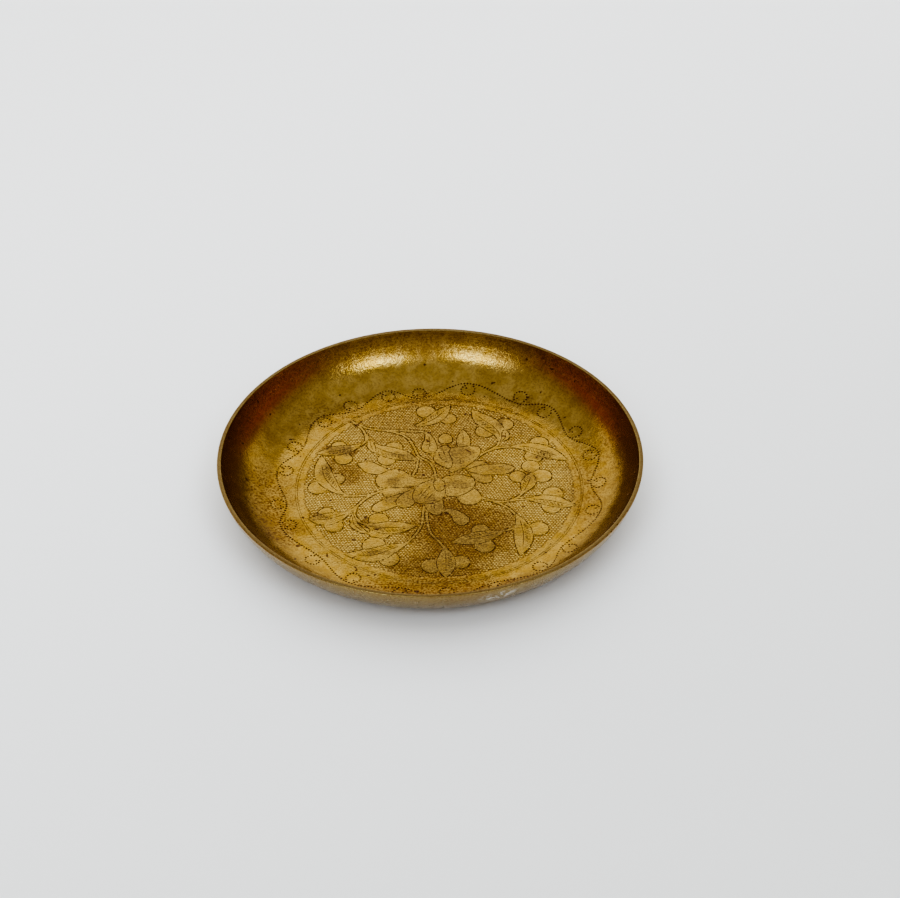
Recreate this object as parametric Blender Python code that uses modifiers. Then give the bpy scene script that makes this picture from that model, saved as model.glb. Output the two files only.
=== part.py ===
"""A round brass tray: one shallow dish, raised from a single disc of brass.

Frame: metres, +Z up. The origin is the middle of the flat underside, and the dish's
axis is +Z. The floor is flat, the wall turns up from it as one circular bend, and the
bend is cut off level by a plain flat rim whose two edges are eased.
"""
import math

import bpy

# Driving dimensions
OUTER_DIAMETER = 0.130
HEIGHT = 0.0148
SHEET_THICKNESS = 0.00135
OUTER_BEND_RADIUS = 0.0195
RIM_EDGE_RADIUS = 0.00035

# Fineness of the faceted solid
STEPS_AROUND = 96
WALL_SEGMENTS = 12
RIM_EDGE_SEGMENTS = 2
AXIS_MERGE_DISTANCE = 0.00001

# Worked out from the driving dimensions
INNER_BEND_RADIUS = OUTER_BEND_RADIUS - SHEET_THICKNESS
RIM_EDGE_HEIGHT = HEIGHT - RIM_EDGE_RADIUS
OUTER_EDGE_REACH = OUTER_BEND_RADIUS - RIM_EDGE_RADIUS
INNER_EDGE_REACH = INNER_BEND_RADIUS + RIM_EDGE_RADIUS
OUTER_WALL_SWEEP = math.acos((OUTER_BEND_RADIUS - RIM_EDGE_HEIGHT) / OUTER_EDGE_REACH)
INNER_WALL_SWEEP = math.acos((OUTER_BEND_RADIUS - RIM_EDGE_HEIGHT) / INNER_EDGE_REACH)
OUTER_EDGE_CENTRE_RADIUS = OUTER_DIAMETER / 2 - RIM_EDGE_RADIUS
FLAT_RADIUS = OUTER_EDGE_CENTRE_RADIUS - OUTER_EDGE_REACH * math.sin(OUTER_WALL_SWEEP)
INNER_EDGE_CENTRE_RADIUS = FLAT_RADIUS + INNER_EDGE_REACH * math.sin(INNER_WALL_SWEEP)

# Aged yellow brass
BRASS_COLOUR = (0.50, 0.34, 0.10, 1.0)
BRASS_ROUGHNESS = 0.38

# Directions for arcs, measured from straight down and turning outward
DOWN = 0.0
OUTWARD = math.pi / 2
UP = math.pi


def remove_all_objects():
    for item in list(bpy.data.objects):
        bpy.data.objects.remove(item, do_unlink=True)


def make_collection(name):
    collection = bpy.data.collections.new(name)
    bpy.context.scene.collection.children.link(collection)
    return collection


def brass_material():
    material = bpy.data.materials.new("brass")
    material.use_nodes = True
    shader = material.node_tree.nodes["Principled BSDF"]
    shader.inputs["Base Color"].default_value = BRASS_COLOUR
    shader.inputs["Metallic"].default_value = 1.0
    shader.inputs["Roughness"].default_value = BRASS_ROUGHNESS
    return material


def arc(centre, radius, start, end, segments):
    """Points on a circular arc in the XZ plane, from one direction to another."""
    points = []
    for i in range(segments + 1):
        direction = start + (end - start) * i / segments
        x = centre[0] + radius * math.sin(direction)
        z = centre[1] - radius * math.cos(direction)
        points.append((x, z))
    return points


def tray_profile():
    """Half section: the inside from the axis up to the rim, then the outside back down.

    The two wall arcs share one centre, so the sheet has one thickness. Each rim edge
    is a small arc that touches both the level rim and its own wall arc.
    """
    bend_centre = (FLAT_RADIUS, OUTER_BEND_RADIUS)
    inner_edge_centre = (INNER_EDGE_CENTRE_RADIUS, RIM_EDGE_HEIGHT)
    outer_edge_centre = (OUTER_EDGE_CENTRE_RADIUS, RIM_EDGE_HEIGHT)

    floor_centre = [(0.0, SHEET_THICKNESS)]
    inner_wall = arc(bend_centre, INNER_BEND_RADIUS, DOWN, INNER_WALL_SWEEP, WALL_SEGMENTS)
    inner_edge = arc(
        inner_edge_centre, RIM_EDGE_RADIUS, INNER_WALL_SWEEP - math.pi, -UP, RIM_EDGE_SEGMENTS
    )
    outer_edge = arc(outer_edge_centre, RIM_EDGE_RADIUS, UP, OUTWARD, RIM_EDGE_SEGMENTS)
    outer_wall = arc(bend_centre, OUTER_BEND_RADIUS, OUTER_WALL_SWEEP, DOWN, WALL_SEGMENTS)
    underside_centre = [(0.0, 0.0)]

    inside = floor_centre + inner_wall + inner_edge[1:]
    outside = outer_edge + outer_wall + underside_centre
    return inside + outside


def turned_shape(name, profile, collection, material):
    """A solid of revolution about +Z, from a profile in the XZ plane."""
    mesh = bpy.data.meshes.new(name)
    vertices = [(x, 0.0, z) for x, z in profile]
    edges = [(i, i + 1) for i in range(len(profile) - 1)]
    mesh.from_pydata(vertices, edges, [])
    mesh.materials.append(material)
    item = bpy.data.objects.new(name, mesh)
    collection.objects.link(item)

    screw = item.modifiers.new("Turn", "SCREW")
    screw.axis = "Z"
    screw.angle = math.tau
    screw.steps = STEPS_AROUND
    screw.render_steps = STEPS_AROUND
    screw.use_merge_vertices = True
    screw.merge_threshold = AXIS_MERGE_DISTANCE
    screw.use_smooth_shade = True
    return item


def main():
    remove_all_objects()
    collection = make_collection("brass_tray")
    turned_shape("tray_body", tray_profile(), collection, brass_material())


main()
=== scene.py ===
import math

import bpy
import numpy as np
from mathutils import Matrix, Vector, noise
from mathutils.geometry import delaunay_2d_cdt


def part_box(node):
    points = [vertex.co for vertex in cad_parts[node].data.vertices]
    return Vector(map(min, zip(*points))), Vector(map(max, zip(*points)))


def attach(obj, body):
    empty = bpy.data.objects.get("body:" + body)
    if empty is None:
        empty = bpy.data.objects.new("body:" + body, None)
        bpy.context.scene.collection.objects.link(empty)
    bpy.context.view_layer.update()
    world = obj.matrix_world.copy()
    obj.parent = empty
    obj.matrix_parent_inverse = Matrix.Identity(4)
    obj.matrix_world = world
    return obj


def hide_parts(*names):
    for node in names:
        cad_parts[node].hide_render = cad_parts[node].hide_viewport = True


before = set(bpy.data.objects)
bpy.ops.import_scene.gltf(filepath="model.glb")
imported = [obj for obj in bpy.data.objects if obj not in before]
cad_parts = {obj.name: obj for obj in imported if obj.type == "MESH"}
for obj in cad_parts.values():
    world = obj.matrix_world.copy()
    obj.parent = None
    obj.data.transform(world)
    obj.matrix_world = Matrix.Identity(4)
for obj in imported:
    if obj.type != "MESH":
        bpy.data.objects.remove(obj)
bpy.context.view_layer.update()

MM = 0.001

# ---------------------------------------------------------------------------
# The dish, as in the CAD: one sheet, a flat floor and a circular bend
# ---------------------------------------------------------------------------
tray_low, tray_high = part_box("tray_body")
OUTER_RADIUS = (tray_high.x - tray_low.x) / 2
HEIGHT = tray_high.z - tray_low.z
SHEET = 1.35 * MM
OUTER_BEND = 19.5 * MM
RIM_EDGE = 0.35 * MM

INNER_BEND = OUTER_BEND - SHEET
EDGE_DROP = OUTER_BEND - (HEIGHT - RIM_EDGE)
OUTER_SWEEP = math.acos(EDGE_DROP / (OUTER_BEND - RIM_EDGE))
INNER_SWEEP = math.acos(EDGE_DROP / (INNER_BEND + RIM_EDGE))
FLAT = OUTER_RADIUS - RIM_EDGE - (OUTER_BEND - RIM_EDGE) * math.sin(OUTER_SWEEP)
INSIDE_REACH = FLAT + INNER_BEND * INNER_SWEEP  # along the surface, axis to rim edge

# The engraved ring: its radius, and how far its centre stands off the dish's axis
RING = 44.4 * MM
RING_SHIFT = 2.66 * MM
DESIGN_CENTRE = np.array([RING_SHIFT, 0.0])

# ---------------------------------------------------------------------------
# The camera
# ---------------------------------------------------------------------------
VIEW_ELEVATION = math.radians(38.95)
VIEW_ROLL = math.radians(0.949)
VIEW_DISTANCE = 0.763
AIM_RIGHT = 6.09 * MM  # the tray stands a little left of the picture's middle
AIM_UP = 1.40 * MM
LENS = 100.0
SENSOR = 36.0


def make_camera():
    data = bpy.data.cameras.new("camera")
    data.lens = LENS
    data.sensor_fit = "HORIZONTAL"
    data.sensor_width = SENSOR
    data.clip_start = 0.01
    data.clip_end = 50.0
    camera = bpy.data.objects.new("camera", data)
    bpy.context.scene.collection.objects.link(camera)

    back = Vector((0.0, -math.cos(VIEW_ELEVATION), math.sin(VIEW_ELEVATION)))
    level_up = back.cross(Vector((1.0, 0.0, 0.0)))
    roll = Matrix.Rotation(VIEW_ROLL, 3, -back)
    right = roll @ Vector((1.0, 0.0, 0.0))
    up = roll @ level_up
    rim_centre = Vector((0.0, 0.0, HEIGHT))
    camera.location = rim_centre + back * VIEW_DISTANCE
    aim = rim_centre + right * AIM_RIGHT + up * AIM_UP
    back = (camera.location - aim).normalized()
    right = (right - back * right.dot(back)).normalized()
    up = back.cross(right)
    axes = Matrix((right, up, back)).transposed()
    camera.rotation_mode = "QUATERNION"
    camera.rotation_quaternion = axes.to_quaternion()
    bpy.context.scene.camera = camera


# ---------------------------------------------------------------------------
# The engraved design. Lengths are in ring radii, from the ring's centre: x to the
# right and y away from the viewer.
# ---------------------------------------------------------------------------
FIELD_EDGE = 0.94       # the punched ground ends here, just inside the ring
RING_LINES = (0.985, 1.0)
STEM_HALF_WIDTH = 0.0110

# Stems, drawn first, so that leaves and petals lie over their ends
STEMS = (
    ((-0.62, 0.76), (-0.50, 0.675), (-0.40, 0.65), (-0.29, 0.615), (-0.215, 0.55),
     (-0.175, 0.46), (-0.14, 0.35), (-0.075, 0.29), (-0.035, 0.21), (-0.02, 0.10)),
    ((-0.60, 0.74), (-0.54, 0.66), (-0.515, 0.58), (-0.52, 0.52), (-0.57, 0.46)),
    ((-0.51, 0.60), (-0.49, 0.53), (-0.45, 0.46), (-0.38, 0.41), (-0.30, 0.375)),
    ((-0.42, 0.652), (-0.30, 0.645), (-0.20, 0.635), (-0.11, 0.625), (-0.06, 0.59)),
    ((-0.145, 0.33), (-0.155, 0.22), (-0.19, 0.12)),
    ((0.14, 0.18), (0.24, 0.27), (0.30, 0.355), (0.37, 0.41), (0.42, 0.46), (0.435, 0.53)),
    ((0.36, 0.40), (0.44, 0.43), (0.53, 0.44)),
    ((0.27, -0.11), (0.37, -0.155), (0.45, -0.165), (0.53, -0.15), (0.61, -0.14)),
    ((0.47, -0.165), (0.54, -0.12), (0.59, -0.06)),
    ((0.33, -0.14), (0.42, -0.19), (0.48, -0.245), (0.535, -0.33)),
    ((-0.36, 0.00), (-0.45, -0.055), (-0.52, -0.12), (-0.58, -0.20), (-0.63, -0.25)),
    ((-0.575, -0.195), (-0.585, -0.28), (-0.55, -0.35), (-0.49, -0.395)),
    ((-0.10, -0.15), (-0.115, -0.28), (-0.125, -0.39), (-0.165, -0.49), (-0.23, -0.59)),
    ((-0.085, -0.15), (-0.088, -0.33), (-0.065, -0.48), (-0.01, -0.57), (0.03, -0.65)),
    ((-0.66, -0.075), (-0.55, -0.075), (-0.45, -0.06)),
    ((0.535, -0.43), (0.47, -0.46), (0.42, -0.48)),
)

# Sprays: a pointed leaf over round lobes. Each is the leaf's spine from foot to tip,
# its half width, the side its hatching is on, and the lobes as (x, y, radius).
SPRAYS = (
    (((-0.54, 0.50), (-0.62, 0.45), (-0.74, 0.42), (-0.87, 0.395)), 0.052, 1,
     ((-0.705, 0.475, 0.056), (-0.672, 0.335, 0.065))),
    (((-0.64, -0.07), (-0.72, -0.005), (-0.795, 0.12), (-0.82, 0.25), (-0.825, 0.375)),
     0.066, -1, ((-0.845, 0.020, 0.070), (-0.715, 0.110, 0.060))),
    (((-0.485, 0.53), (-0.42, 0.44), (-0.33, 0.39), (-0.23, 0.35), (-0.145, 0.30)),
     0.062, -1, ((-0.315, 0.450, 0.064), (-0.365, 0.320, 0.066))),
    (((-0.49, 0.56), (-0.475, 0.46), (-0.445, 0.39)), 0.028, 1, ()),
    (((0.435, 0.49), (0.435, 0.59), (0.39, 0.68), (0.31, 0.77), (0.245, 0.875)),
     0.070, 1, ((0.335, 0.620, 0.070), (0.475, 0.695, 0.068))),
    (((0.44, 0.49), (0.48, 0.55), (0.475, 0.64)), 0.030, 1, ()),
    (((0.50, 0.432), (0.60, 0.440), (0.72, 0.395), (0.82, 0.335), (0.91, 0.275)),
     0.064, -1, ((0.715, 0.475, 0.070), (0.670, 0.325, 0.067))),
    (((0.575, -0.08), (0.605, -0.01), (0.63, 0.06), (0.645, 0.145)), 0.052, 1,
     ((0.645, 0.215, 0.066), (0.550, 0.105, 0.061), (0.720, 0.110, 0.070))),
    (((0.585, -0.142), (0.68, -0.145), (0.78, -0.165), (0.87, -0.20), (0.945, -0.215)),
     0.058, -1, ((0.787, -0.085, 0.071), (0.770, -0.228, 0.068))),
    (((0.52, -0.295), (0.55, -0.38), (0.565, -0.50), (0.560, -0.61), (0.535, -0.735)),
     0.066, 1, ((0.672, -0.455, 0.071),)),
    (((0.03, -0.62), (0.035, -0.72), (0.035, -0.82), (0.03, -0.945)), 0.064, 1,
     ((-0.062, -0.820, 0.070), (0.132, -0.785, 0.066))),
    (((-0.605, -0.25), (-0.70, -0.295), (-0.80, -0.325), (-0.905, -0.31)), 0.062, -1,
     ((-0.777, -0.257, 0.060), (-0.725, -0.390, 0.066))),
    (((-0.60, -0.26), (-0.59, -0.37), (-0.54, -0.44), (-0.48, -0.485)), 0.030, 1, ()),
    (((-0.53, -0.37), (-0.43, -0.415), (-0.30, -0.42), (-0.16, -0.405)), 0.064, -1,
     ((-0.420, -0.335, 0.070), (-0.412, -0.475, 0.072))),
    (((-0.215, -0.58), (-0.33, -0.64), (-0.46, -0.70), (-0.65, -0.69)), 0.070, -1,
     ((-0.450, -0.600, 0.080), (-0.345, -0.745, 0.070))),
    (((-0.175, 0.695), (-0.09, 0.725), (0.0, 0.80), (0.095, 0.935)), 0.054, 1,
     ((-0.085, 0.855, 0.070), (0.075, 0.770, 0.061))),
    (((0.45, -0.465), (0.37, -0.505), (0.24, -0.545), (0.07, -0.585)), 0.060, -1,
     ((0.275, -0.465, 0.064), (0.300, -0.625, 0.070))),
)

# The middle flower and the one above it, back petals first: closed smooth outlines
PETALS = (
    # upper flower: round top lobe, pointed petal, folded leaf, body
    ((0.02, 0.49), (0.00, 0.55), (0.045, 0.60), (0.095, 0.57), (0.095, 0.50)),
    ((0.145, 0.44), (0.13, 0.53), (0.15, 0.60), (0.18, 0.64), (0.215, 0.585),
     (0.23, 0.52), (0.215, 0.44)),
    ((-0.045, 0.37), (-0.105, 0.40), (-0.12, 0.45), (-0.10, 0.53), (-0.085, 0.62),
     (-0.035, 0.56), (-0.01, 0.47), (-0.01, 0.38)),
    ((-0.03, 0.29), (-0.03, 0.37), (0.00, 0.43), (0.05, 0.47), (0.09, 0.42),
     (0.10, 0.32), (0.085, 0.21), (0.02, 0.235)),
    ((0.075, 0.16), (0.10, 0.27), (0.075, 0.385), (0.105, 0.44), (0.16, 0.445),
     (0.22, 0.455), (0.285, 0.44), (0.30, 0.385), (0.26, 0.30), (0.19, 0.22)),
    # right upper petal with a round lobe on each side
    ((0.20, 0.20), (0.225, 0.12), (0.285, 0.05), (0.345, 0.04), (0.375, 0.085), (0.34, 0.15)),
    ((0.19, 0.20), (0.24, 0.27), (0.30, 0.285), (0.345, 0.25), (0.33, 0.19)),
    ((0.20, 0.18), (0.30, 0.13), (0.40, 0.13), (0.48, 0.14), (0.535, 0.20),
     (0.47, 0.245), (0.38, 0.245), (0.28, 0.23)),
    # left upper petals
    ((-0.57, 0.28), (-0.48, 0.295), (-0.41, 0.25), (-0.34, 0.19), (-0.30, 0.10),
     (-0.40, 0.145), (-0.49, 0.165), (-0.54, 0.215)),
    ((-0.05, 0.10), (-0.16, 0.105), (-0.24, 0.18), (-0.31, 0.212), (-0.375, 0.18),
     (-0.435, 0.13), (-0.44, 0.06), (-0.395, 0.005), (-0.25, 0.008), (-0.12, 0.035)),
    # left lower petals
    ((-0.20, 0.0), (-0.375, -0.005), (-0.395, -0.055), (-0.35, -0.10), (-0.22, -0.09)),
    ((-0.16, -0.02), (-0.33, -0.09), (-0.44, -0.16), (-0.47, -0.225), (-0.42, -0.255),
     (-0.33, -0.215), (-0.22, -0.14)),
    ((-0.12, 0.02), (-0.25, -0.06), (-0.30, -0.14), (-0.28, -0.20), (-0.225, -0.215),
     (-0.175, -0.17), (-0.15, -0.08)),
    # bottom petals, and the one that droops from them
    ((0.00, -0.25), (0.07, -0.29), (0.10, -0.38), (0.16, -0.41), (0.205, -0.35), (0.16, -0.28),
     (0.08, -0.23)),
    ((-0.10, -0.14), (-0.09, -0.23), (-0.045, -0.29), (0.01, -0.285), (0.03, -0.20),
     (0.01, -0.13)),
    # right lower petal, right middle petal
    ((0.11, -0.06), (0.12, -0.12), (0.16, -0.18), (0.23, -0.19), (0.285, -0.15),
     (0.285, -0.08), (0.235, -0.01), (0.17, -0.03)),
    ((0.02, 0.09), (0.09, 0.13), (0.17, 0.13), (0.235, 0.095), (0.252, 0.035),
     (0.225, -0.03), (0.16, -0.085), (0.10, -0.10), (0.03, -0.07)),
    # front petal and the bud on it
    ((-0.02, 0.085), (-0.11, 0.055), (-0.17, -0.02), (-0.185, -0.11), (-0.15, -0.165),
     (-0.07, -0.17), (0.01, -0.14), (0.042, -0.06), (0.03, 0.04)),
    ((-0.04, 0.03), (-0.035, 0.065), (0.0, 0.08), (0.035, 0.06), (0.04, 0.015),
     (0.02, -0.035), (-0.02, -0.03)),
)

# Short strokes inside the petals, from foot to tip
PETAL_VEINS = (
    ((-0.13, -0.10), (-0.09, -0.03), (-0.06, 0.02)),
    ((-0.14, -0.08), (-0.11, -0.02)),
    ((-0.11, -0.12), (-0.07, -0.06)),
    ((-0.08, -0.12), (-0.04, -0.06)),
    ((-0.075, 0.42), (-0.06, 0.50), (-0.065, 0.57)),
    ((-0.09, 0.44), (-0.055, 0.46)),
    ((-0.09, 0.47), (-0.05, 0.49)),
    ((-0.09, 0.50), (-0.05, 0.52)),
    ((0.00, 0.40), (0.015, 0.32), (0.06, 0.27)),
    ((0.03, 0.42), (0.045, 0.35)),
    ((0.175, 0.49), (0.18, 0.57)),
    ((0.155, 0.25), (0.15, 0.31)),
    ((-0.035, -0.17), (-0.035, -0.23)),
    ((-0.055, -0.18), (-0.06, -0.22)),
)

# The wave of punched dots outside the ring: its crests and troughs in turn, clockwise,
# as bearings (anticlockwise from +x, in degrees) and distances from the ring's centre
WAVE_TURNS = (
    (109.0, 1.155), (97.0, 1.02), (78.5, 1.175), (58.5, 1.09), (46.5, 1.175), (30.0, 1.07),
    (16.0, 1.17), (0.0, 1.055), (-15.0, 1.15), (-38.0, 1.05), (-52.0, 1.14), (-71.0, 1.06),
    (-88.0, 1.15), (-104.0, 1.07), (-122.0, 1.16), (-139.0, 1.08), (-160.0, 1.155),
    (-172.0, 1.065), (-191.0, 1.15), (-205.0, 1.065), (-222.5, 1.165), (-236.0, 1.065),
)
CURL_RADIUS = 0.052
DOT_PITCH = 0.0225


def smooth_curve(points, closed, pitch):
    """Points at an even pitch along a Catmull-Rom curve."""
    points = [np.array(p, float) for p in points]
    if closed:
        points = [points[-1]] + points + points[:2]
    else:
        points = [2 * points[0] - points[1]] + points + [2 * points[-1] - points[-2]]
    t = np.linspace(0.0, 1.0, 17)[:-1, None]
    spans = []
    for a, b, c, d in zip(points, points[1:], points[2:], points[3:]):
        spans.append(0.5 * (
            2 * b + (c - a) * t + (2 * a - 5 * b + 4 * c - d) * t**2
            + (3 * b - a - 3 * c + d) * t**3
        ))
    dense = np.vstack(spans + [points[-2][None]])
    return even_pitch(dense, pitch)


def even_pitch(dense, pitch):
    steps = np.linalg.norm(np.diff(dense, axis=0), axis=1)
    along = np.concatenate([[0.0], np.cumsum(steps)])
    count = max(3, int(round(along[-1] / pitch)) + 1)
    wanted = np.linspace(0.0, along[-1], count)
    return np.stack([np.interp(wanted, along, dense[:, k]) for k in (0, 1)], axis=1)


def side_normals(line):
    """Unit normals to the left of a polyline."""
    ahead = np.gradient(line, axis=0)
    ahead /= np.linalg.norm(ahead, axis=1, keepdims=True)
    return np.stack([-ahead[:, 1], ahead[:, 0]], axis=1)


def ribbon(points, half_width):
    """Outline of a stem."""
    spine = smooth_curve(points, False, 0.012)
    normals = side_normals(spine)
    left = spine + normals * half_width
    right = spine - normals * half_width
    return np.vstack([left, right[::-1], left[:1]])


def leaf_outline(spine, half_width):
    """Outline of a pointed leaf, widest a little past its middle."""
    t = np.linspace(0.0, 1.0, len(spine))[:, None]
    width = half_width * np.sin(math.pi * t**1.12) ** 0.85
    normals = side_normals(spine)
    left = spine + normals * width
    right = spine - normals * width
    return np.vstack([left, right[::-1]])


def unit_vectors(angles):
    return np.stack([np.cos(angles), np.sin(angles)], axis=1)


def circle(x, y, radius, pitch):
    turn = np.linspace(0.0, math.tau, max(12, int(math.tau * radius / pitch)) + 1)
    return np.array([x, y]) + radius * unit_vectors(turn)


def inside(points, outline):
    """Which points a closed outline holds, by counting crossings."""
    held = np.zeros(len(points), bool)
    low, high = outline.min(axis=0), outline.max(axis=0)
    near = np.all((points >= low) & (points <= high), axis=1)
    px, py = points[near, 0][:, None], points[near, 1][:, None]
    ax, ay = outline[:-1, 0], outline[:-1, 1]
    bx, by = outline[1:, 0], outline[1:, 1]
    spans = (ay > py) != (by > py)
    rise = np.where(by == ay, 1.0, by - ay)
    crossing = px < ax + (py - ay) * (bx - ax) / rise
    held[near] = np.count_nonzero(spans & crossing, axis=1) % 2 == 1
    return held


def distance_to(points, line):
    """Distance from each point to a polyline."""
    a, b = line[:-1], line[1:]
    ab = b - a
    length2 = np.maximum((ab**2).sum(axis=1), 1e-12)
    ap = points[:, None, :] - a[None]
    t = np.clip((ap * ab[None]).sum(axis=2) / length2[None], 0.0, 1.0)
    gap = ap - t[..., None] * ab[None]
    return np.sqrt((gap**2).sum(axis=2).min(axis=1))


OUTLINE_PITCH = 0.0105


def build_design():
    """All closed shapes, lowest first, and the strokes inside them."""
    shapes, strokes = [], []
    for points in STEMS:
        shapes.append(("stem", ribbon(points, STEM_HALF_WIDTH)))
    for spine_points, half_width, hatch_side, lobes in SPRAYS:
        for x, y, radius in lobes:
            shapes.append(("lobe", circle(x, y, radius, OUTLINE_PITCH)))
        spine = smooth_curve(spine_points, False, OUTLINE_PITCH)
        shapes.append(("leaf", leaf_outline(spine, half_width)))
        strokes += leaf_strokes(spine, half_width, hatch_side)
    for points in PETALS:
        shapes.append(("petal", smooth_curve(points, True, OUTLINE_PITCH)))
    for points in PETAL_VEINS:
        strokes.append(("vein", smooth_curve(points, False, OUTLINE_PITCH)))
    return shapes, strokes


HATCH_PITCH = 0.0175


def leaf_strokes(spine, half_width, side):
    """A leaf's middle vein, and the fine hatching down one side of it."""
    count = len(spine)
    strokes = [("vein", spine[int(count * 0.16):int(count * 0.80)])]
    if half_width < 0.04:
        return strokes
    normals = side_normals(spine) * side
    ahead = np.gradient(spine, axis=0)
    ahead /= np.linalg.norm(ahead, axis=1, keepdims=True)
    length = np.linalg.norm(np.diff(spine, axis=0), axis=1).sum()
    for along in np.arange(0.24 * length, 0.72 * length, HATCH_PITCH):
        i = int(count * along / length)
        reach = half_width * 0.62 * math.sin(math.pi * along / length)
        foot = spine[i] + normals[i] * 0.010
        tip = foot + normals[i] * reach + ahead[i] * reach * 0.75
        strokes.append(("hatch", even_pitch(np.stack([foot, tip]), OUTLINE_PITCH)))
    return strokes


def polar(bearing, radius):
    angle = math.radians(bearing)
    return np.array([radius * math.cos(angle), radius * math.sin(angle)])


def curl(bearing, radius, inward):
    """Dots round a hook that leaves the wave at a crest or a trough: most of a circle,
    closing in a little, and a last dot inside it."""
    side = -1.0 if inward else 1.0
    centre = polar(bearing, radius + side * 1.15 * CURL_RADIUS)
    start = math.radians(bearing) + (-0.25 * math.pi if inward else -0.80 * math.pi)
    sweep = 1.55 * math.pi
    count = int(sweep * CURL_RADIUS / DOT_PITCH) + 1
    dots = []
    for i in range(count):
        angle = start + side * sweep * i / (count - 1)
        reach = CURL_RADIUS * (1.0 - 0.12 * i / count)
        dots.append(centre + reach * np.array([math.cos(angle), math.sin(angle)]))
    dots.append((centre + dots[-1]) / 2)
    return dots


def wave_dots():
    """The wave and its curls, as dot positions in ring radii."""
    line, curls = [], []
    following = WAVE_TURNS[1:] + ((WAVE_TURNS[0][0] - 360.0, WAVE_TURNS[0][1]),)
    for k, (turn, next_turn) in enumerate(zip(WAVE_TURNS, following)):
        bearing, radius = turn
        next_bearing, next_radius = next_turn
        for t in np.linspace(0.0, 1.0, 20)[:-1]:
            swing = (1.0 - math.cos(math.pi * t)) / 2
            line.append(polar(bearing + (next_bearing - bearing) * t,
                              radius + (next_radius - radius) * swing))
        curls += curl(bearing, radius, inward=k % 2 == 0)
    line.append(line[0])
    dots = list(even_pitch(np.array(line), DOT_PITCH))[:-1]
    return np.array(dots + curls)


# ---------------------------------------------------------------------------
# The mesh. The inside is laid out flat: a point's distance from the middle is its
# distance along the surface. It is triangulated there and then lifted into the dish.
# ---------------------------------------------------------------------------
SEED = 20
AROUND = 300                # points round the rim
SHARP_FROM = math.radians(13.0)
DENT_DEPTH = 0.045 * MM     # the floor's slow unevenness
DENT_SIZE = 11 * MM
BEAD_PITCH = 0.93 * MM
BEAD_JITTER = 0.080 * BEAD_PITCH
BEAD_SHOULDER = 0.300 * MM
BEAD_VALLEY = 0.040 * MM
TOP_CLEARANCE = 0.11 * MM   # clearances: how far off other mesh points stay
SHOULDER_CLEARANCE = 0.05 * MM
VALLEY_CLEARANCE = 0.14 * MM
RUBBED_AND_HIGHLIT = -0.5                 # rubbed bright and painted as a highlight, against 1 for the bottom of a line
GROUND_DROP = 0.015 * MM    # the punched ground lies this far under the plain floor
DOME_HEIGHT = 0.018 * MM
DOME_REACH = 1.6 * MM
RIM_EDGE_WEAR_AND_HIGHLIGHT = 0.9 * RUBBED_AND_HIGHLIT
# Rings of the rim's section, from the inside: dull and darker between two bright edges. The bright
# edges are partly rubbed metal and partly a painted highlight; the darker bands are painted shade
# and dark reflection
RIM_WEAR_AND_PAINTED_LIGHT = (0.40, 0.30, RIM_EDGE_WEAR_AND_HIGHLIGHT, 0.20, 0.26, 0.20, RIM_EDGE_WEAR_AND_HIGHLIGHT, 0.24)
DOT_RADIUS = 0.30 * MM
DOT_DEPTH = 0.16 * MM
FILL_PITCH = 0.75 * MM
WALL_ROW = 1.15 * MM
DEEP_GROOVE = 0.07 * MM     # deeper grooves than this have lips painted bright: a painted highlight, with some rubbing
LIP_WEAR_AND_HIGHLIGHT = 0.35 * RUBBED_AND_HIGHLIT

GROOVES = {                 # half width, depth, darkness
    "outline": (0.20 * MM, 0.12 * MM, 1.0),
    "fold": (0.18 * MM, 0.08 * MM, 0.90),
    "vein": (0.15 * MM, 0.06 * MM, 0.70),
    "hatch": (0.10 * MM, 0.04 * MM, 0.60),
    "ring": (0.14 * MM, 0.045 * MM, 0.50),
}

CELL = 0.10 * MM            # the raster that keeps mesh points apart
RASTER = int(2 * INSIDE_REACH / CELL) + 40


class Layout:
    """Mesh points in the flattened plane, each with a height and a darkness.

    A raster remembers where points lie. A new point too near an earlier one is left
    out, so the most important features are laid down first.
    """

    def __init__(self):
        self.taken = np.zeros((RASTER, RASTER), bool)
        self.points = []
        self.heights = []
        self.darkness = []

    def cells(self, points):
        return (np.round(points / CELL) + RASTER // 2).astype(int)

    def free(self, points):
        at = self.cells(points)
        return ~self.taken[at[:, 0], at[:, 1]]

    def stamp(self, points, radius):
        at = self.cells(points)
        reach = int(radius / CELL) + 1
        for dx in range(-reach, reach + 1):
            for dy in range(-reach, reach + 1):
                if math.hypot(dx, dy) * CELL <= radius:
                    self.taken[at[:, 0] + dx, at[:, 1] + dy] = True

    def add(self, points, height, dark, clearance, check=True):
        keep = self.free(points) if check else np.ones(len(points), bool)
        kept = points[keep]
        self.points.append(kept)
        self.heights.append(np.broadcast_to(height, len(points))[keep])
        self.darkness.append(np.broadcast_to(dark, len(points))[keep])
        self.stamp(kept, clearance)
        return keep


def to_floor(points):
    """From ring radii to metres in the flattened plane."""
    return np.asarray(points) * RING + DESIGN_CENTRE


def to_rings(points):
    """From metres in the flattened plane to ring radii."""
    return (points - DESIGN_CENTRE) / RING


def lay_groove(layout, line, style, closed=False):
    """A V groove: a row of points down its middle and one along each lip. The lips of the deep
    ones are painted bright: a painted highlight along the edge, with some rubbing."""
    half, depth, dark = GROOVES[style]
    normals = side_normals(line)
    if closed:
        normals[0] = normals[-1] = (normals[0] + normals[-1]) / 2
        line, normals = line[:-1], normals[:-1]
    lip = LIP_WEAR_AND_HIGHLIGHT if depth > DEEP_GROOVE else 0.10 * dark
    fade = np.ones(len(line))
    if not closed:
        fade[0] = fade[-1] = 0.35
    kept = layout.free(line)
    for side in (0, 1, -1):
        rows = line + normals * half * side
        height = -depth * fade if side == 0 else 0.0
        shade = dark * fade if side == 0 else lip
        layout.add(rows[kept], height[kept] if side == 0 else height,
                   shade[kept] if side == 0 else shade, 0.45 * half, check=side != 0)


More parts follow.
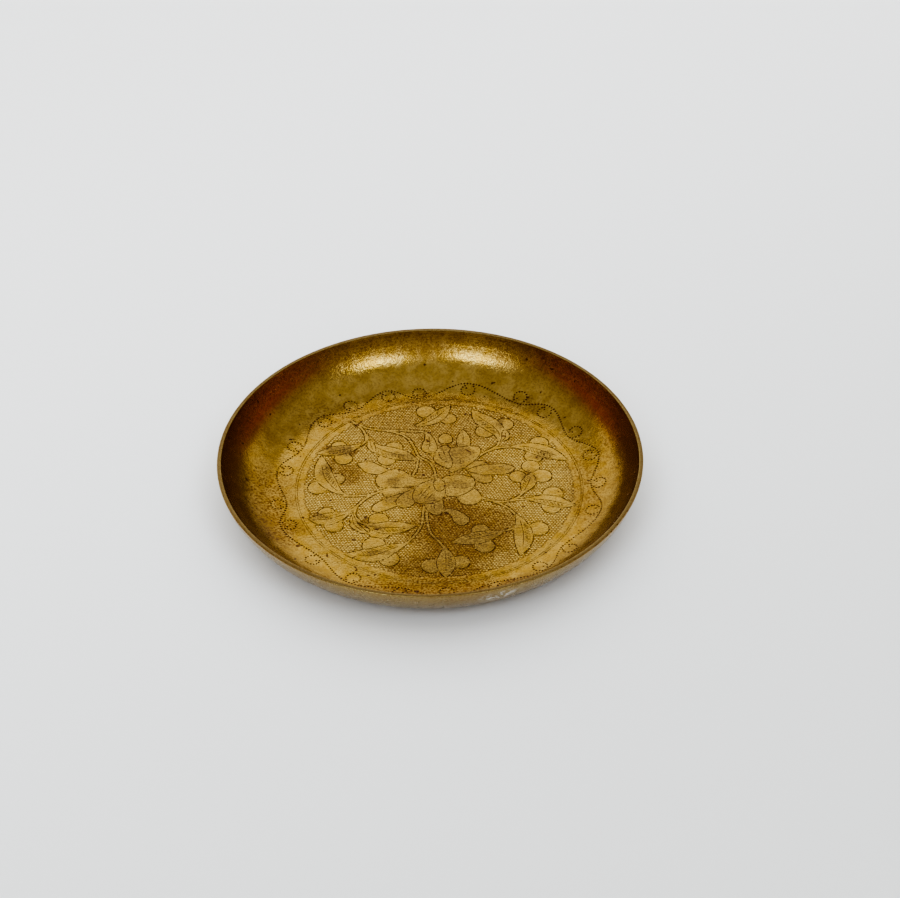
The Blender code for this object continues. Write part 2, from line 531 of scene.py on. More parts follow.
def lay_outlines(layout, shapes):
    """Each outline is cut deep over the ground, faint over a lower shape, and not at
    all where a later shape covers it."""
    for index, (kind, outline) in enumerate(shapes):
        covered = np.zeros(len(outline), bool)
        for _, later in shapes[index + 1:]:
            covered |= inside(outline, later)
        over_lower = np.zeros(len(outline), bool)
        for _, lower in shapes[:index]:
            over_lower |= inside(outline, lower)
        if kind == "stem":
            covered |= over_lower
        cuts = (("outline", ~covered & ~over_lower), ("fold", ~covered & over_lower))
        for style, wanted in cuts:
            for first, last in runs(wanted):
                if last - first >= 3:
                    line = to_floor(outline[first:last])
                    lay_groove(layout, line, style)


def runs(wanted):
    """Start and end of each stretch of true values."""
    edges = np.flatnonzero(np.diff(np.concatenate([[0], wanted.astype(int), [0]])))
    return list(zip(edges[::2], edges[1::2]))


def bead_rows():
    """Even rows of bead places over the whole field."""
    reach = FIELD_EDGE * RING + 3 * MM
    row_gap = BEAD_PITCH * math.sqrt(3) / 2
    rows = int(reach / row_gap) + 1
    columns = int(reach / BEAD_PITCH) + 1
    i, j = np.meshgrid(np.arange(-columns, columns + 1), np.arange(-rows, rows + 1))
    x = (i + 0.5 * (j % 2)) * BEAD_PITCH
    y = j * row_gap
    return np.stack([x.ravel(), y.ravel()], axis=1)


def bend(points):
    """A slow warp, so that rows turn and their pitch varies over the field."""
    x, y = points[:, 0] / RING, points[:, 1] / RING
    dx = 0.055 * np.sin(2.1 * y + 0.7) + 0.010 * np.sin(5.3 * x - 3.1 * y)
    dy = 0.050 * np.sin(2.4 * x - 0.4) + 0.010 * np.sin(4.7 * y + 2.9 * x + 1.0)
    return points + np.stack([dx, dy], axis=1) * RING


def lay_beads(layout, shapes, rng):
    """Each bead is a top point and six shoulder points, with dark valleys between."""
    lattice = bead_rows()
    tops = bend(lattice) + rng.normal(0.0, BEAD_JITTER, lattice.shape)
    tops += DESIGN_CENTRE
    in_rings = to_rings(tops)
    field = np.hypot(in_rings[:, 0], in_rings[:, 1]) < FIELD_EDGE - 0.008
    for _, outline in shapes:
        field &= ~inside(in_rings, outline)
    blocked = layout.taken.copy()
    layout.stamp(np.vstack(layout.points), BEAD_SHOULDER)
    field &= layout.free(tops)
    layout.taken = blocked
    tops = tops[field]
    lattice = lattice[field]

    size = rng.uniform(0.86, 1.04, len(tops))
    # The tops and shoulders are painted bright: partly rubbed metal, partly a painted highlight
    layout.add(tops, 0.0, RUBBED_AND_HIGHLIT, TOP_CLEARANCE)
    for k in range(6):
        offset = size[:, None] * unit_vectors([k * math.tau / 6]) * BEAD_SHOULDER
        layout.add(tops + offset, -0.10 * BEAD_VALLEY, 0.6 * RUBBED_AND_HIGHLIT, SHOULDER_CLEARANCE)
    # Valleys halfway to each neighbour, and deeper ones where three beads meet
    for first_turn, reach, depth, dark in (
        (0.0, 1 / 2, 0.80 * BEAD_VALLEY, 0.42),
        (math.pi / 6, 1 / math.sqrt(3), BEAD_VALLEY, 0.62),
    ):
        for k in range(6):
            angle = k * math.pi / 3 + first_turn
            step = np.array([math.cos(angle), math.sin(angle)]) * reach * BEAD_PITCH
            valley = bend(lattice + step) + DESIGN_CENTRE
            layout.add(valley, -depth, dark, VALLEY_CLEARANCE)


def lay_dots(layout, rng):
    """The wave's punched dots: small round pits, dark at the bottom."""
    turn = np.arange(6) * math.pi / 3
    spokes = unit_vectors(turn)
    between = unit_vectors(turn + math.pi / 6)
    for dot in to_floor(wave_dots()):
        centre = dot + rng.normal(0.0, 0.03 * MM, 2)
        size = DOT_RADIUS * rng.uniform(0.80, 1.1)
        depth = DOT_DEPTH * rng.uniform(0.6, 1.0)
        if not layout.free(centre[None])[0]:
            continue
        layout.add(centre[None], -depth, 1.0, 0.0)
        layout.add(centre + 0.65 * size * spokes, -0.8 * depth, 1.0, 0.0, check=False)
        layout.add(centre + size * spokes, 0.0, 0.20, 0.0, check=False)
        layout.stamp(centre[None], 1.25 * size)
        layout.add(centre + 1.45 * size * between, 0.0, 0.0, 0.0)
        layout.stamp(centre[None], 1.45 * size + 0.10 * MM)


def lay_fill(layout):
    """Even points for the smooth places: shapes, plain bands and the wall."""
    for offset in (0.0, 0.5):
        steps = int(RING / FILL_PITCH) + 2
        i, j = np.meshgrid(np.arange(-steps, steps + 1), np.arange(-steps, steps + 1))
        grid = np.stack([i.ravel() + offset, j.ravel() + offset], axis=1) * FILL_PITCH * 1.3
        grid += DESIGN_CENTRE
        near = np.hypot(grid[:, 0] - RING_SHIFT, grid[:, 1]) < RING
        layout.add(grid[near], 0.0, 0.0, 0.42 * MM)
    radius = FLAT - 3 * MM
    turn = np.arange(AROUND) * math.tau / AROUND
    row = 0
    while radius < INSIDE_REACH - 0.5 * MM:
        shifted = turn + (row % 2) * math.pi / AROUND
        layout.add(radius * unit_vectors(shifted), 0.0, 0.0, 0.40 * MM)
        radius += WALL_ROW
        row += 1


def field_step(layout):
    """The ledge where the punched ground meets the plain band."""
    for radius in (FIELD_EDGE, FIELD_EDGE + 0.006):
        layout.add(to_floor(circle(0.0, 0.0, radius, 0.012)[:-1]), 0.0, 0.15, 0.12 * MM)


# Tarnish that gathers in places, and on the wall patches of painted shade and dark reflection:
# middle and half axes in ring radii, and strength
STAINS_AND_SHADE = (
    (0.15, -0.50, 0.46, 0.42, 0.66),
    (0.07, -0.24, 0.24, 0.18, 0.60),
    (-0.02, -0.86, 0.40, 0.24, 0.55),
    (0.05, 0.14, 0.44, 0.36, 0.32),
    (0.00, 0.97, 0.52, 0.10, 0.38),
    (1.02, -0.05, 0.17, 0.60, 0.28),
    (-0.20, -0.10, 0.22, 0.12, 0.60),
    (0.32, 0.10, 0.10, 0.08, 0.40),
    (0.10, 0.36, 0.17, 0.18, 0.65),
    (-1.22, -0.15, 0.24, 0.50, 0.45),
    (-1.12, -0.42, 0.20, 0.24, 0.58),
    (-0.74, 0.82, 0.36, 0.18, 0.26),
    (-0.62, 0.16, 0.15, 0.10, 0.40),
    (-0.30, 0.83, 0.40, 0.16, 0.22),
    (0.05, 0.66, 0.80, 0.30, 0.28),
    (0.58, 0.88, 0.26, 0.12, 0.28),
    (1.22, 0.20, 0.16, 0.35, 0.20),
    (1.24, -0.86, 0.22, 0.34, 0.40),
    (0.62, -1.08, 0.36, 0.17, 0.62),
    (-0.05, -1.08, 0.62, 0.17, 0.68),
    (-0.30, 0.07, 0.10, 0.07, 0.65),
    (-0.22, -0.06, 0.09, 0.08, 0.60),
    (-0.08, -0.12, 0.09, 0.07, 0.70),
    (0.13, 0.03, 0.10, 0.07, 0.70),
    (0.16, 0.37, 0.11, 0.09, 0.70),
    (0.37, 0.21, 0.16, 0.06, 0.50),
    (-0.70, 0.425, 0.14, 0.05, 0.75),
    (-0.24, 0.36, 0.12, 0.06, 0.65),
    (0.47, 0.72, 0.07, 0.06, 0.80),
    (0.76, 0.34, 0.12, 0.06, 0.45),
    (-0.78, 0.22, 0.06, 0.14, 0.55),
    (0.63, 0.12, 0.07, 0.09, 0.60),
    (-0.46, -0.39, 0.18, 0.06, 0.50),
    (-0.40, -0.67, 0.16, 0.05, 0.45),
    (-0.80, -0.31, 0.10, 0.05, 0.50),
)


STAIN_WAVER = 0.07          # how far a stain's edge strays, in ring radii
STAIN_WAVER_SIZE = 4.5 * MM


def waver(points, size, seed):
    """Smooth noise over the flattened plane, for each point, from about -1 to 1."""
    out = np.empty(len(points))
    for i, (x, y) in enumerate(points):
        out[i] = noise.noise(Vector((x / size, y / size, seed)))
    return out


def stained_and_shaded(points):
    """How much tarnish and painted shade each point has, from 0 to 1."""
    ragged = [waver(points, STAIN_WAVER_SIZE, seed) for seed in (1.3, 8.1)]
    ragged = np.stack(ragged, axis=1)
    at = to_rings(points) + STAIN_WAVER * ragged
    total = np.zeros(len(points))
    for x, y, half_x, half_y, strength in STAINS_AND_SHADE:
        gap = np.hypot((at[:, 0] - x) / half_x, (at[:, 1] - y) / half_y)
        total = np.maximum(total, strength * ease((1.15 - gap) / 0.75))
    return total


def ease(x):
    x = np.clip(x, 0.0, 1.0)
    return x * x * (3.0 - 2.0 * x)


def base_relief(points, shapes):
    """The worked surface without its lines: the height of the sunk ground and of the
    domed petals, and which points lie on a stem, leaf or petal."""
    in_rings = to_rings(points)
    from_centre = np.hypot(in_rings[:, 0], in_rings[:, 1])
    height = np.where(from_centre < FIELD_EDGE + 0.003, -GROUND_DROP, 0.0)
    raised = np.zeros(len(points))
    for kind, outline in shapes:
        held = inside(in_rings, outline)
        if not held.any():
            continue
        depth = distance_to(in_rings[held], outline) * RING
        if kind == "stem":
            height[held] = 0.35 * DOME_HEIGHT * ease(depth / (0.45 * MM))
        else:
            height[held] = DOME_HEIGHT * ease(depth / DOME_REACH)
        raised[held] = 1.0
    return height, raised


def into_dish(points, heights):
    """Lifts flattened points into the dish, standing off the surface by their height."""
    reach = np.hypot(points[:, 0], points[:, 1])
    bearing = np.arctan2(points[:, 1], points[:, 0])
    turn = np.clip((reach - FLAT) / INNER_BEND, 0.0, None)
    radius = np.where(reach < FLAT, reach, FLAT + INNER_BEND * np.sin(turn))
    z = np.where(reach < FLAT, SHEET, OUTER_BEND - INNER_BEND * np.cos(turn))
    radius = radius - np.sin(turn) * heights
    z = z + np.cos(turn) * heights
    return np.stack([radius * np.cos(bearing), radius * np.sin(bearing), z], axis=1)


def arc(centre, radius, start, end, segments):
    """Points on an arc in the XZ plane. Angles start straight down and turn outward."""
    points = []
    for i in range(segments + 1):
        angle = start + (end - start) * i / segments
        points.append((centre[0] + radius * math.sin(angle), centre[1] - radius * math.cos(angle)))
    return points


def outside_profile():
    """From the inside wall's top over the rim, down the outside and under the base."""
    edge_height = HEIGHT - RIM_EDGE
    inner_centre = (FLAT + (INNER_BEND + RIM_EDGE) * math.sin(INNER_SWEEP), edge_height)
    outer_centre = (OUTER_RADIUS - RIM_EDGE, edge_height)
    bend_centre = (FLAT, OUTER_BEND)
    inner_edge = arc(inner_centre, RIM_EDGE, INNER_SWEEP - math.pi, -math.pi, 4)
    outer_edge = arc(outer_centre, RIM_EDGE, math.pi, OUTER_SWEEP, 5)
    wall = arc(bend_centre, OUTER_BEND, OUTER_SWEEP, 0.0, 16)
    base = [(FLAT * k / 6, 0.0) for k in (5, 4, 3, 2, 1)]
    return inner_edge[1:] + outer_edge + wall[1:] + base


def lay_out_inside(shapes, strokes):
    """Every mesh point of the inside, the most important features first."""
    rng = np.random.default_rng(SEED)
    layout = Layout()
    boundary = INSIDE_REACH * unit_vectors(np.arange(AROUND) * math.tau / AROUND)
    layout.add(boundary, 0.0, 0.0, 0.5 * MM)

    lay_outlines(layout, shapes)
    for style, line in strokes:
        lay_groove(layout, to_floor(line), style)
    for radius in RING_LINES:
        lay_groove(layout, to_floor(circle(0.0, 0.0, radius, 0.014)), "ring", closed=True)
    field_step(layout)
    lay_dots(layout, rng)
    lay_beads(layout, shapes, rng)
    lay_fill(layout)
    return layout


def inside_surface():
    """The inside's points in the flattened plane, their vertices in the dish, the faces,
    and the attributes of each vertex."""
    shapes, strokes = build_design()
    layout = lay_out_inside(shapes, strokes)
    points = np.vstack(layout.points)
    base, raised = base_relief(points, shapes)
    reach = np.hypot(points[:, 0], points[:, 1])
    edge_fade = ease((INSIDE_REACH - reach) / (4 * MM))
    dents = DENT_DEPTH * waver(points, DENT_SIZE, 3.7) * edge_fade
    heights = np.concatenate(layout.heights) + base + dents
    values = {
        "recess": np.concatenate(layout.darkness),
        "raised": raised,
        "tarnish_and_shade": stained_and_shaded(points),
        "outside": np.zeros(len(points)),
    }
    made = delaunay_2d_cdt([Vector(p) for p in points], [], [], 0, 1e-7)
    source = np.array([ids[0] for ids in made[3]])
    values = {name: value[source] for name, value in values.items()}
    vertices = into_dish(points[source], heights[source])
    return points[source], vertices, [tuple(face) for face in made[2]], values


def rim_loop(points):
    """The boundary's points in order, by number and by bearing."""
    reach = np.hypot(points[:, 0], points[:, 1])
    rim = np.flatnonzero(reach > INSIDE_REACH - 0.01 * MM)
    rim = rim[np.argsort(np.arctan2(points[rim, 1], points[rim, 0]) % math.tau)]
    assert len(rim) == AROUND
    return rim, np.arctan2(points[rim, 1], points[rim, 0])


def add_outside(vertices, faces, rim, bearing):
    """Rings of vertices from the rim down the outside to the middle of the base."""
    parts = [vertices]
    previous = list(rim)
    count = len(vertices)
    for radius, z in outside_profile():
        parts.append(np.column_stack([radius * unit_vectors(bearing), np.full(AROUND, z)]))
        current = list(range(count, count + AROUND))
        count += AROUND
        for i in range(AROUND):
            j = (i + 1) % AROUND
            faces.append((previous[i], previous[j], current[j], current[i]))
        previous = current
    parts.append(np.zeros((1, 3)))
    for i in range(AROUND):
        faces.append((previous[i], previous[(i + 1) % AROUND], count))
    return np.vstack(parts)


def outside_values(count):
    """What the attributes are on the outside's vertices."""
    rim_wear_and_painted_light = np.zeros(count)
    # The rim's rings carry painted light: bright edges that are partly a painted highlight, and
    # darker bands of painted shade and dark reflection
    for ring, wear in enumerate(RIM_WEAR_AND_PAINTED_LIGHT):
        rim_wear_and_painted_light[ring * AROUND:(ring + 1) * AROUND] = wear
    return {
        "recess": rim_wear_and_painted_light,
        "raised": np.zeros(count),
        "tarnish_and_shade": np.full(count, 0.10),
        "outside": np.ones(count),
    }


def build_tray():
    points, vertices, faces, values = inside_surface()
    inside_count = len(vertices)
    rim, bearing = rim_loop(points)
    vertices = add_outside(vertices, faces, rim, bearing)

    mesh = bpy.data.meshes.new("brass_tray")
    mesh.from_pydata(vertices.tolist(), [], faces)
    mesh.shade_smooth()
    mesh.set_sharp_from_angle(angle=SHARP_FROM)
    beyond = outside_values(len(vertices) - inside_count)
    for name, value in values.items():
        value = np.concatenate([value, beyond[name]]).astype(np.float32)
        mesh.attributes.new(name, "FLOAT", "POINT").data.foreach_set("value", value)
    tray = bpy.data.objects.new("brass_tray", mesh)
    bpy.context.scene.collection.objects.link(tray)
    mesh.materials.append(brass_material())
    return tray


# ---------------------------------------------------------------------------
# The brass
# ---------------------------------------------------------------------------
BRIGHT_BRASS = (0.555, 0.381, 0.107, 1.0)
WORN_AND_HIGHLIGHT_BRASS = (0.72, 0.553, 0.205, 1.0)
OCHRE_BRASS = (0.44, 0.275, 0.052, 1.0)
DULL_BRASS = (0.29, 0.222, 0.100, 1.0)
BROWN_TARNISH_AND_SHADE = (0.19, 0.085, 0.012, 1.0)
GREY_TARNISH_AND_SHADE = (0.225, 0.138, 0.040, 1.0)
RED_SIDE_REFLECTION = (0.46, 0.150, 0.028, 1.0)
DARK_RECESS = (0.085, 0.026, 0.007, 1.0)
PALE_SMEAR = (0.66, 0.64, 0.58, 1.0)

# Noise scales, in waves per metre
CLOUD_SCALE = 60.0
MOTTLE_SCALE = 240.0
SPECK_SCALE = 430.0
GRAIN_SCALE = 640.0
FINE_SCALE = 1500.0
TURNING_SCALE = 2600.0

WALL_RISE = (0.004, 0.012)  # heights between which the floor's look gives way to the wall's
RED_REFLECTION_SIDES = (0.036, 0.060)  # distances to the side between which the wall takes a painted red reflection
SMEAR_MIDDLE = (0.0195, -0.0610, 0.0110)
SMEAR_FADE = (0.0025, 0.0080)


class Nodes:
    """Short helpers for wiring a node tree."""

    def __init__(self, material):
        self.tree = material.node_tree

    def add(self, kind, **settings):
        node = self.tree.nodes.new(kind)
        for name, value in settings.items():
            setattr(node, name, value)
        return node

    def link(self, output, target):
        self.tree.links.new(output, target)

    def put(self, value, target):
        if isinstance(value, (int, float, tuple)):
            target.default_value = value
        else:
            self.link(value, target)

    def math(self, operation, a, b=0.0, clamp=False):
        node = self.add("ShaderNodeMath", operation=operation, use_clamp=clamp)
        self.put(a, node.inputs[0])
        self.put(b, node.inputs[1])
        return node.outputs[0]

    def vector_math(self, operation, a, b=None):
        node = self.add("ShaderNodeVectorMath", operation=operation)
        self.link(a, node.inputs[0])
        if b is not None:
            node.inputs[1].default_value = b
        return node

    def separate(self, vector):
        node = self.add("ShaderNodeSeparateXYZ")
        self.link(vector, node.inputs["Vector"])
        return node.outputs

    def noise(self, coordinates, scale, detail=3.0, roughness=0.5, distortion=0.0):
        node = self.add("ShaderNodeTexNoise")
        self.link(coordinates, node.inputs["Vector"])
        node.inputs["Scale"].default_value = scale
        node.inputs["Detail"].default_value = detail
        node.inputs["Roughness"].default_value = roughness
        node.inputs["Distortion"].default_value = distortion
        return node.outputs["Fac"]

    def remap(self, value, low, high, to_low=0.0, to_high=1.0):
        node = self.add("ShaderNodeMapRange", interpolation_type="SMOOTHSTEP")
        self.link(value, node.inputs["Value"])
        node.inputs["From Min"].default_value = low
        node.inputs["From Max"].default_value = high
        node.inputs["To Min"].default_value = to_low
        node.inputs["To Max"].default_value = to_high
        return node.outputs["Result"]

    def mix(self, factor, a, b):
        node = self.add("ShaderNodeMix", data_type="RGBA")
        self.put(factor, node.inputs["Factor"])
        self.put(a, node.inputs["A"])
        self.put(b, node.inputs["B"])
        return node.outputs["Result"]

    def attribute(self, name):
        node = self.add("ShaderNodeAttribute", attribute_type="GEOMETRY", attribute_name=name)
        return node.outputs["Fac"]


def brass_material():
    """Brass that is rubbed, tarnished and dirty in its lines, and duller outside. Its colour also
    holds painted light: highlights on bead tops, lips and rim edges, a red reflection on the side
    walls, and patches of shade and dark reflection.
    """
    material = bpy.data.materials.new("aged_brass")
    material.use_nodes = True
    n = Nodes(material)
    shader = n.tree.nodes["Principled BSDF"]
    position = n.add("ShaderNodeTexCoord").outputs["Object"]
    place = n.separate(position)

    mottle = n.noise(position, MOTTLE_SCALE, 4.0, 0.6, 0.4)
    grain = n.noise(position, GRAIN_SCALE, 4.0, 0.65)
    fine = n.noise(position, FINE_SCALE, 2.0, 0.6)
    recess = n.attribute("recess")
    outside = n.attribute("outside")
    stain_and_shade = n.attribute("tarnish_and_shade")
    on_wall = n.math("SUBTRACT", n.remap(place["Z"], *WALL_RISE), outside, clamp=True)

    colour = n.mix(n.remap(mottle, 0.35, 0.65), OCHRE_BRASS, BRIGHT_BRASS)
    # Painted reflection: the wall is coloured red toward its left and right sides, standing in for
    # the red reflection there
    side_reflection = n.remap(n.math("ABSOLUTE", place["X"]), *RED_REFLECTION_SIDES, 0.0, 0.65)
    colour = n.mix(n.math("MULTIPLY", side_reflection, on_wall), colour, RED_SIDE_REFLECTION)
    colour = n.mix(n.math("MULTIPLY", outside, 0.85), colour, DULL_BRASS)
    # Painted highlight, partly rubbing: bead tops, lips and rim edges are lightened toward the
    # bright brass
    colour = n.mix(rubbed_and_highlit(n, recess, grain, stain_and_shade), colour, WORN_AND_HIGHLIGHT_BRASS)
    # Tarnish with painted shade: stains, patches of dark reflection and the darker wall pull the
    # colour toward brown, grey on the raised shapes
    tarnish_and_shade = tarnished_and_shaded(n, position, grain, fine, stain_and_shade, on_wall)
    raised = n.attribute("raised")
    colour = n.mix(tarnish_and_shade, colour, n.mix(raised, BROWN_TARNISH_AND_SHADE, GREY_TARNISH_AND_SHADE))
    colour = n.mix(dark_specks(n, position, outside), colour, DARK_RECESS)
    dark = n.remap(recess, 0.10, 0.60, 0.0, 0.95)
    colour = n.mix(dark, colour, DARK_RECESS)
    smear = pale_smear(n, position, grain, outside)
    colour = n.mix(smear, colour, PALE_SMEAR)
    n.link(colour, shader.inputs["Base Color"])

    rough = n.remap(mottle, 0.30, 0.70, 0.115, 0.19)
    for amount, added in ((tarnish_and_shade, 0.13), (dark, 0.20), (outside, 0.12), (smear, 0.35)):
        rough = n.math("ADD", rough, n.math("MULTIPLY", amount, added))
    n.link(rough, shader.inputs["Roughness"])
    shader.inputs["Metallic"].default_value = 1.0
    shader.inputs["Coat Weight"].default_value = 0.16
    shader.inputs["Coat Roughness"].default_value = 0.30

    bump = n.add("ShaderNodeBump")
    bump.inputs["Strength"].default_value = 0.16
    bump.inputs["Distance"].default_value = 0.0004
    pits = n.math("ADD", n.math("MULTIPLY", grain, 0.9), n.math("MULTIPLY", fine, 0.9))
    n.link(n.math("ADD", pits, turning_lines(n, place)), bump.inputs["Height"])
    n.link(bump.outputs["Normal"], shader.inputs["Normal"])
    return material


def rubbed_and_highlit(n, recess, grain, stain_and_shade):
    """Bead tops, lips and rim edges are painted bright where the stains and painted shade leave
    them clear: partly rubbed metal, partly painted highlight.
    """
    wear_and_highlight = n.remap(n.math("MULTIPLY", recess, -1.0), 0.05, 0.45, 0.0, 0.9)
    wear_and_highlight = n.math("MULTIPLY", wear_and_highlight, n.remap(grain, 0.36, 0.56, 0.45, 1.0))
    return n.math("MULTIPLY", wear_and_highlight, n.remap(stain_and_shade, 0.15, 0.65, 1.0, 0.30))


def tarnished_and_shaded(n, position, grain, fine, stain_and_shade, on_wall):
    """Grainy stains with patches of painted shade among them, a darker wall that is partly tarnish
    and partly painted shade, faint clouds and small spots, added together.
    """
    mingled = n.math("ADD", n.math("MULTIPLY", grain, 0.4), n.math("MULTIPLY", fine, 0.6))
    patches = n.math("MULTIPLY", stain_and_shade, n.remap(mingled, 0.34, 0.64, 0.58, 1.12))
    # Painted shade, partly tarnish: the wall darkens as it rises
    wall = n.math("MULTIPLY", on_wall, 0.30)
    cloud = n.noise(position, CLOUD_SCALE, 4.0, 0.6, 0.3)
    clouds = n.remap(cloud, 0.48, 0.72, 0.0, 0.16)
    fine_spots = n.remap(fine, 0.47, 0.64, 0.0, 0.55)
    spots = n.math("ADD", fine_spots, n.remap(grain, 0.54, 0.66, 0.0, 0.15))
    spotted = n.remap(stain_and_shade, 0.0, 0.5, 0.50, 1.0)
    spotted = n.math("ADD", spotted, n.math("MULTIPLY", on_wall, 0.35))
    spots = n.math("MULTIPLY", spots, spotted)
    return n.math("ADD", n.math("ADD", patches, wall), n.math("ADD", clouds, spots), clamp=True)


def dark_specks(n, position, outside):
    """A few small dark spots on the inside."""
    speck = n.noise(position, SPECK_SCALE, 1.0, 0.4)
    return n.math("SUBTRACT", n.remap(speck, 0.735, 0.76, 0.0, 0.85), outside, clamp=True)


def pale_smear(n, position, grain, outside):
    """A chalky rub mark on the outside of the wall, to the right of the front."""
    gap = n.vector_math("SUBTRACT", position, SMEAR_MIDDLE)
    flattened = n.vector_math("MULTIPLY", gap.outputs["Vector"], (1.0, 1.0, 2.4))
    length = n.vector_math("LENGTH", flattened.outputs["Vector"])
    near = n.remap(length.outputs["Value"], *SMEAR_FADE, 1.0, 0.0)
    broken = n.math("MULTIPLY", near, n.remap(grain, 0.47, 0.58, 0.0, 0.85))
    return n.math("MULTIPLY", broken, outside)


def turning_lines(n, place):
    """Fine rings left by the lathe, strongest high on the wall."""
    squares = [n.math("MULTIPLY", place[axis], place[axis]) for axis in "XY"]
    reach = n.math("SQRT", n.math("ADD", *squares))
    rings = n.add("ShaderNodeTexNoise", noise_dimensions="1D")
    n.link(n.math("ADD", reach, place["Z"]), rings.inputs["W"])
    rings.inputs["Scale"].default_value = TURNING_SCALE
    rings.inputs["Detail"].default_value = 2.0
    height = n.remap(place["Z"], 0.006, 0.013, 0.10, 1.4)
    return n.math("MULTIPLY", rings.outputs["Fac"], height)


# ---------------------------------------------------------------------------
# The floor and the lights
# ---------------------------------------------------------------------------
# FLOOR_SHADE is painted shade: the floor darkens toward it at the front right
FLOOR_PALE = (0.95, 0.965, 0.975, 1.0)
FLOOR_SHADE = (0.66, 0.67, 0.66, 1.0)
FLOOR_REACH = 1.6
FLOOR_GAP = 0.00005         # keeps the floor clear of the tray's base


def disc_rings(name, profile, around=96):
    """A surface turned about the Z axis from (radius, height) pairs."""
    vertices = []
    faces = []
    for radius, z in profile:
        for i in range(around):
            angle = math.tau * i / around
            vertices.append((radius * math.cos(angle), radius * math.sin(angle), z))
    for k in range(len(profile) - 1):
        start = k * around
        for i in range(around):
            j = (i + 1) % around
            faces.append((start + i, start + around + i, start + around + j, start + j))
    mesh = bpy.data.meshes.new(name)
    mesh.from_pydata(vertices, [], faces)
    mesh.shade_smooth()
    thing = bpy.data.objects.new(name, mesh)
    thing.location.z = -FLOOR_GAP
    bpy.context.scene.collection.objects.link(thing)
    return thing


def make_floor():
    """A pale sheet, and far off a sweep behind it that the metal does not mirror."""
    floor = disc_rings("floor", [(0.002, 0.0), (0.3, 0.0), (0.8, 0.0), (FLOOR_REACH, 0.0)])
    sweep = disc_rings("sweep", [(FLOOR_REACH, 0.0), (2.0, 0.02), (2.3, 0.08), (2.6, 0.22),
                                 (2.8, 0.45), (2.9, 0.8)])
    sweep.visible_glossy = False
    material = floor_material()
    for thing in (floor, sweep):
        thing.data.materials.append(material)


def floor_material():
    """Off-white, with painted shade: a little darker toward the front right."""
    material = bpy.data.materials.new("pale_floor")
    material.use_nodes = True
    n = Nodes(material)
    shader = n.tree.nodes["Principled BSDF"]
    place = n.separate(n.add("ShaderNodeTexCoord").outputs["Object"])
    across = n.math("SUBTRACT", n.math("MULTIPLY", place["X"], 0.6), place["Y"])
    colour = n.mix(n.remap(across, -0.30, 0.35), FLOOR_PALE, FLOOR_SHADE)
    n.link(colour, shader.inputs["Base Color"])
    shader.inputs["Roughness"].default_value = 0.75
    shader.inputs["Specular IOR Level"].default_value = 0.2
    return material


WINDOW_DISTANCE = 1.6
WINDOW_COLOUR = (0.97, 1.0, 0.98)
LAMP_COLOUR = (0.84, 1.0, 1.20)
# The window behind the tray, pane by pane: left, right, low and high edge, and radiance
WINDOW_PANES = (
    ("pane_sky_left", -2.90, 0.35, 0.85, 1.55, 0.77),
    ("pane_sky_right", 0.35, 2.30, 0.85, 1.55, 0.44),
    ("pane_low_left", -1.49, 0.45, 0.02, 0.84, 0.54),
    ("pane_low_right", 0.45, 0.95, 0.02, 0.84, 0.36),
)
# The other lights: bearing, elevation, distance, width, height, radiance and colour, and
# whether the metal mirrors them
SOFT_LIGHTS = (
    ("left_front", 210.0, 43.0, 1.5, 0.56, 0.40, 3.8, LAMP_COLOUR, True),
    ("right_front", 146.0, 47.5, 1.5, 0.48, 0.38, 4.0, LAMP_COLOUR, True),
    ("room_front", 180.0, 28.0, 1.9, 4.0, 2.1, 0.23, (0.98, 1.0, 1.20), True),
    ("fill", 180.0, 55.0, 2.0, 2.6, 2.6, 0.70, (1.0, 1.0, 1.0), False),
    ("overhead", 0.0, 66.0, 2.0, 3.6, 3.6, 1.08, (0.97, 0.99, 1.0), False),
)
ROOM_LOW = (0.20, 0.152, 0.090, 1.0)
ROOM_MIDDLE = (0.33, 0.285, 0.225, 1.0)
ROOM_CEILING = (0.50, 0.50, 0.49, 1.0)
ROOM_SIDES = (0.40, 0.115, 0.026, 1.0)


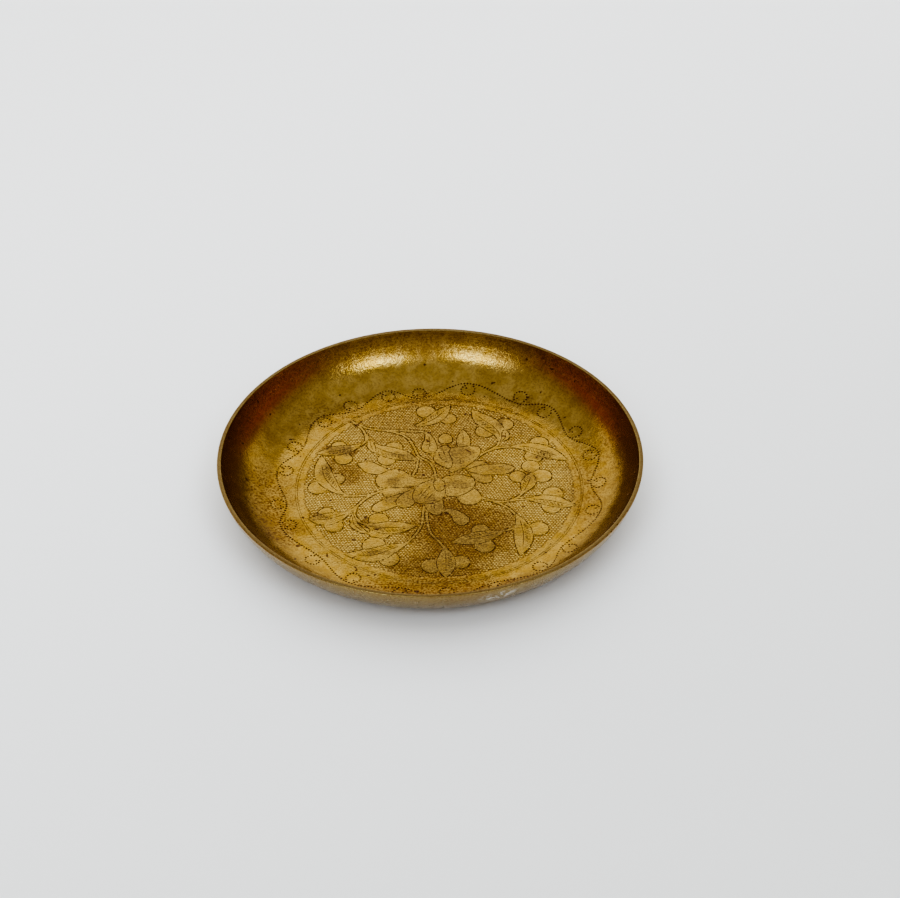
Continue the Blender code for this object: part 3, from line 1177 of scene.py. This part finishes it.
def soft_light(name, bearing, elevation, distance, width, height, radiance, colour):
    """A soft box, given by the light it sends out per square metre and solid angle.
    Bearing 0 is behind the tray, seen from the camera, and 90 is to the right."""
    data = bpy.data.lights.new(name, "AREA")
    data.shape = "RECTANGLE"
    data.size = width
    data.size_y = height
    data.energy = radiance * math.pi * width * height
    data.color = colour
    light = bpy.data.objects.new(name, data)
    bpy.context.scene.collection.objects.link(light)
    b, e = math.radians(bearing), math.radians(elevation)
    direction = Vector((math.sin(b) * math.cos(e), math.cos(b) * math.cos(e), math.sin(e)))
    light.location = direction * distance
    light.rotation_mode = "QUATERNION"
    light.rotation_quaternion = direction.to_track_quat("Z", "Y")
    light.visible_camera = False
    return light


def make_world():
    """A room that is reddish low down at both sides, under a lighter ceiling."""
    world = bpy.data.worlds.new("studio")
    world.use_nodes = True
    n = Nodes(world)
    toward = n.separate(n.add("ShaderNodeTexCoord").outputs["Generated"])
    up = toward["Z"]
    room = n.mix(n.remap(up, 0.0, 0.5), ROOM_LOW, ROOM_MIDDLE)
    room = n.mix(n.remap(up, 0.5, 0.95), room, ROOM_CEILING)
    aside = n.remap(n.math("ABSOLUTE", toward["X"]), 0.72, 0.97)
    low = n.remap(up, 0.25, 0.60, 1.0, 0.0)
    room = n.mix(n.math("MULTIPLY", aside, low), room, ROOM_SIDES)
    n.link(room, n.tree.nodes["Background"].inputs["Color"])
    bpy.context.scene.world = world


def make_lights():
    make_world()
    for name, left, right, low, high, radiance in WINDOW_PANES:
        pane = soft_light(name, 0.0, 0.0, WINDOW_DISTANCE, right - left, high - low,
                          radiance, WINDOW_COLOUR)
        pane.location = ((left + right) / 2, WINDOW_DISTANCE, (low + high) / 2)
    for name, *placing, mirrored in SOFT_LIGHTS:
        soft_light(name, *placing).visible_glossy = mirrored
    bpy.context.scene.view_settings.view_transform = "AgX"
    bpy.context.scene.view_settings.look = "AgX - High Contrast"


make_camera()
make_floor()
make_lights()

tray = build_tray()
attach(tray, "root")
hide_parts("tray_body")
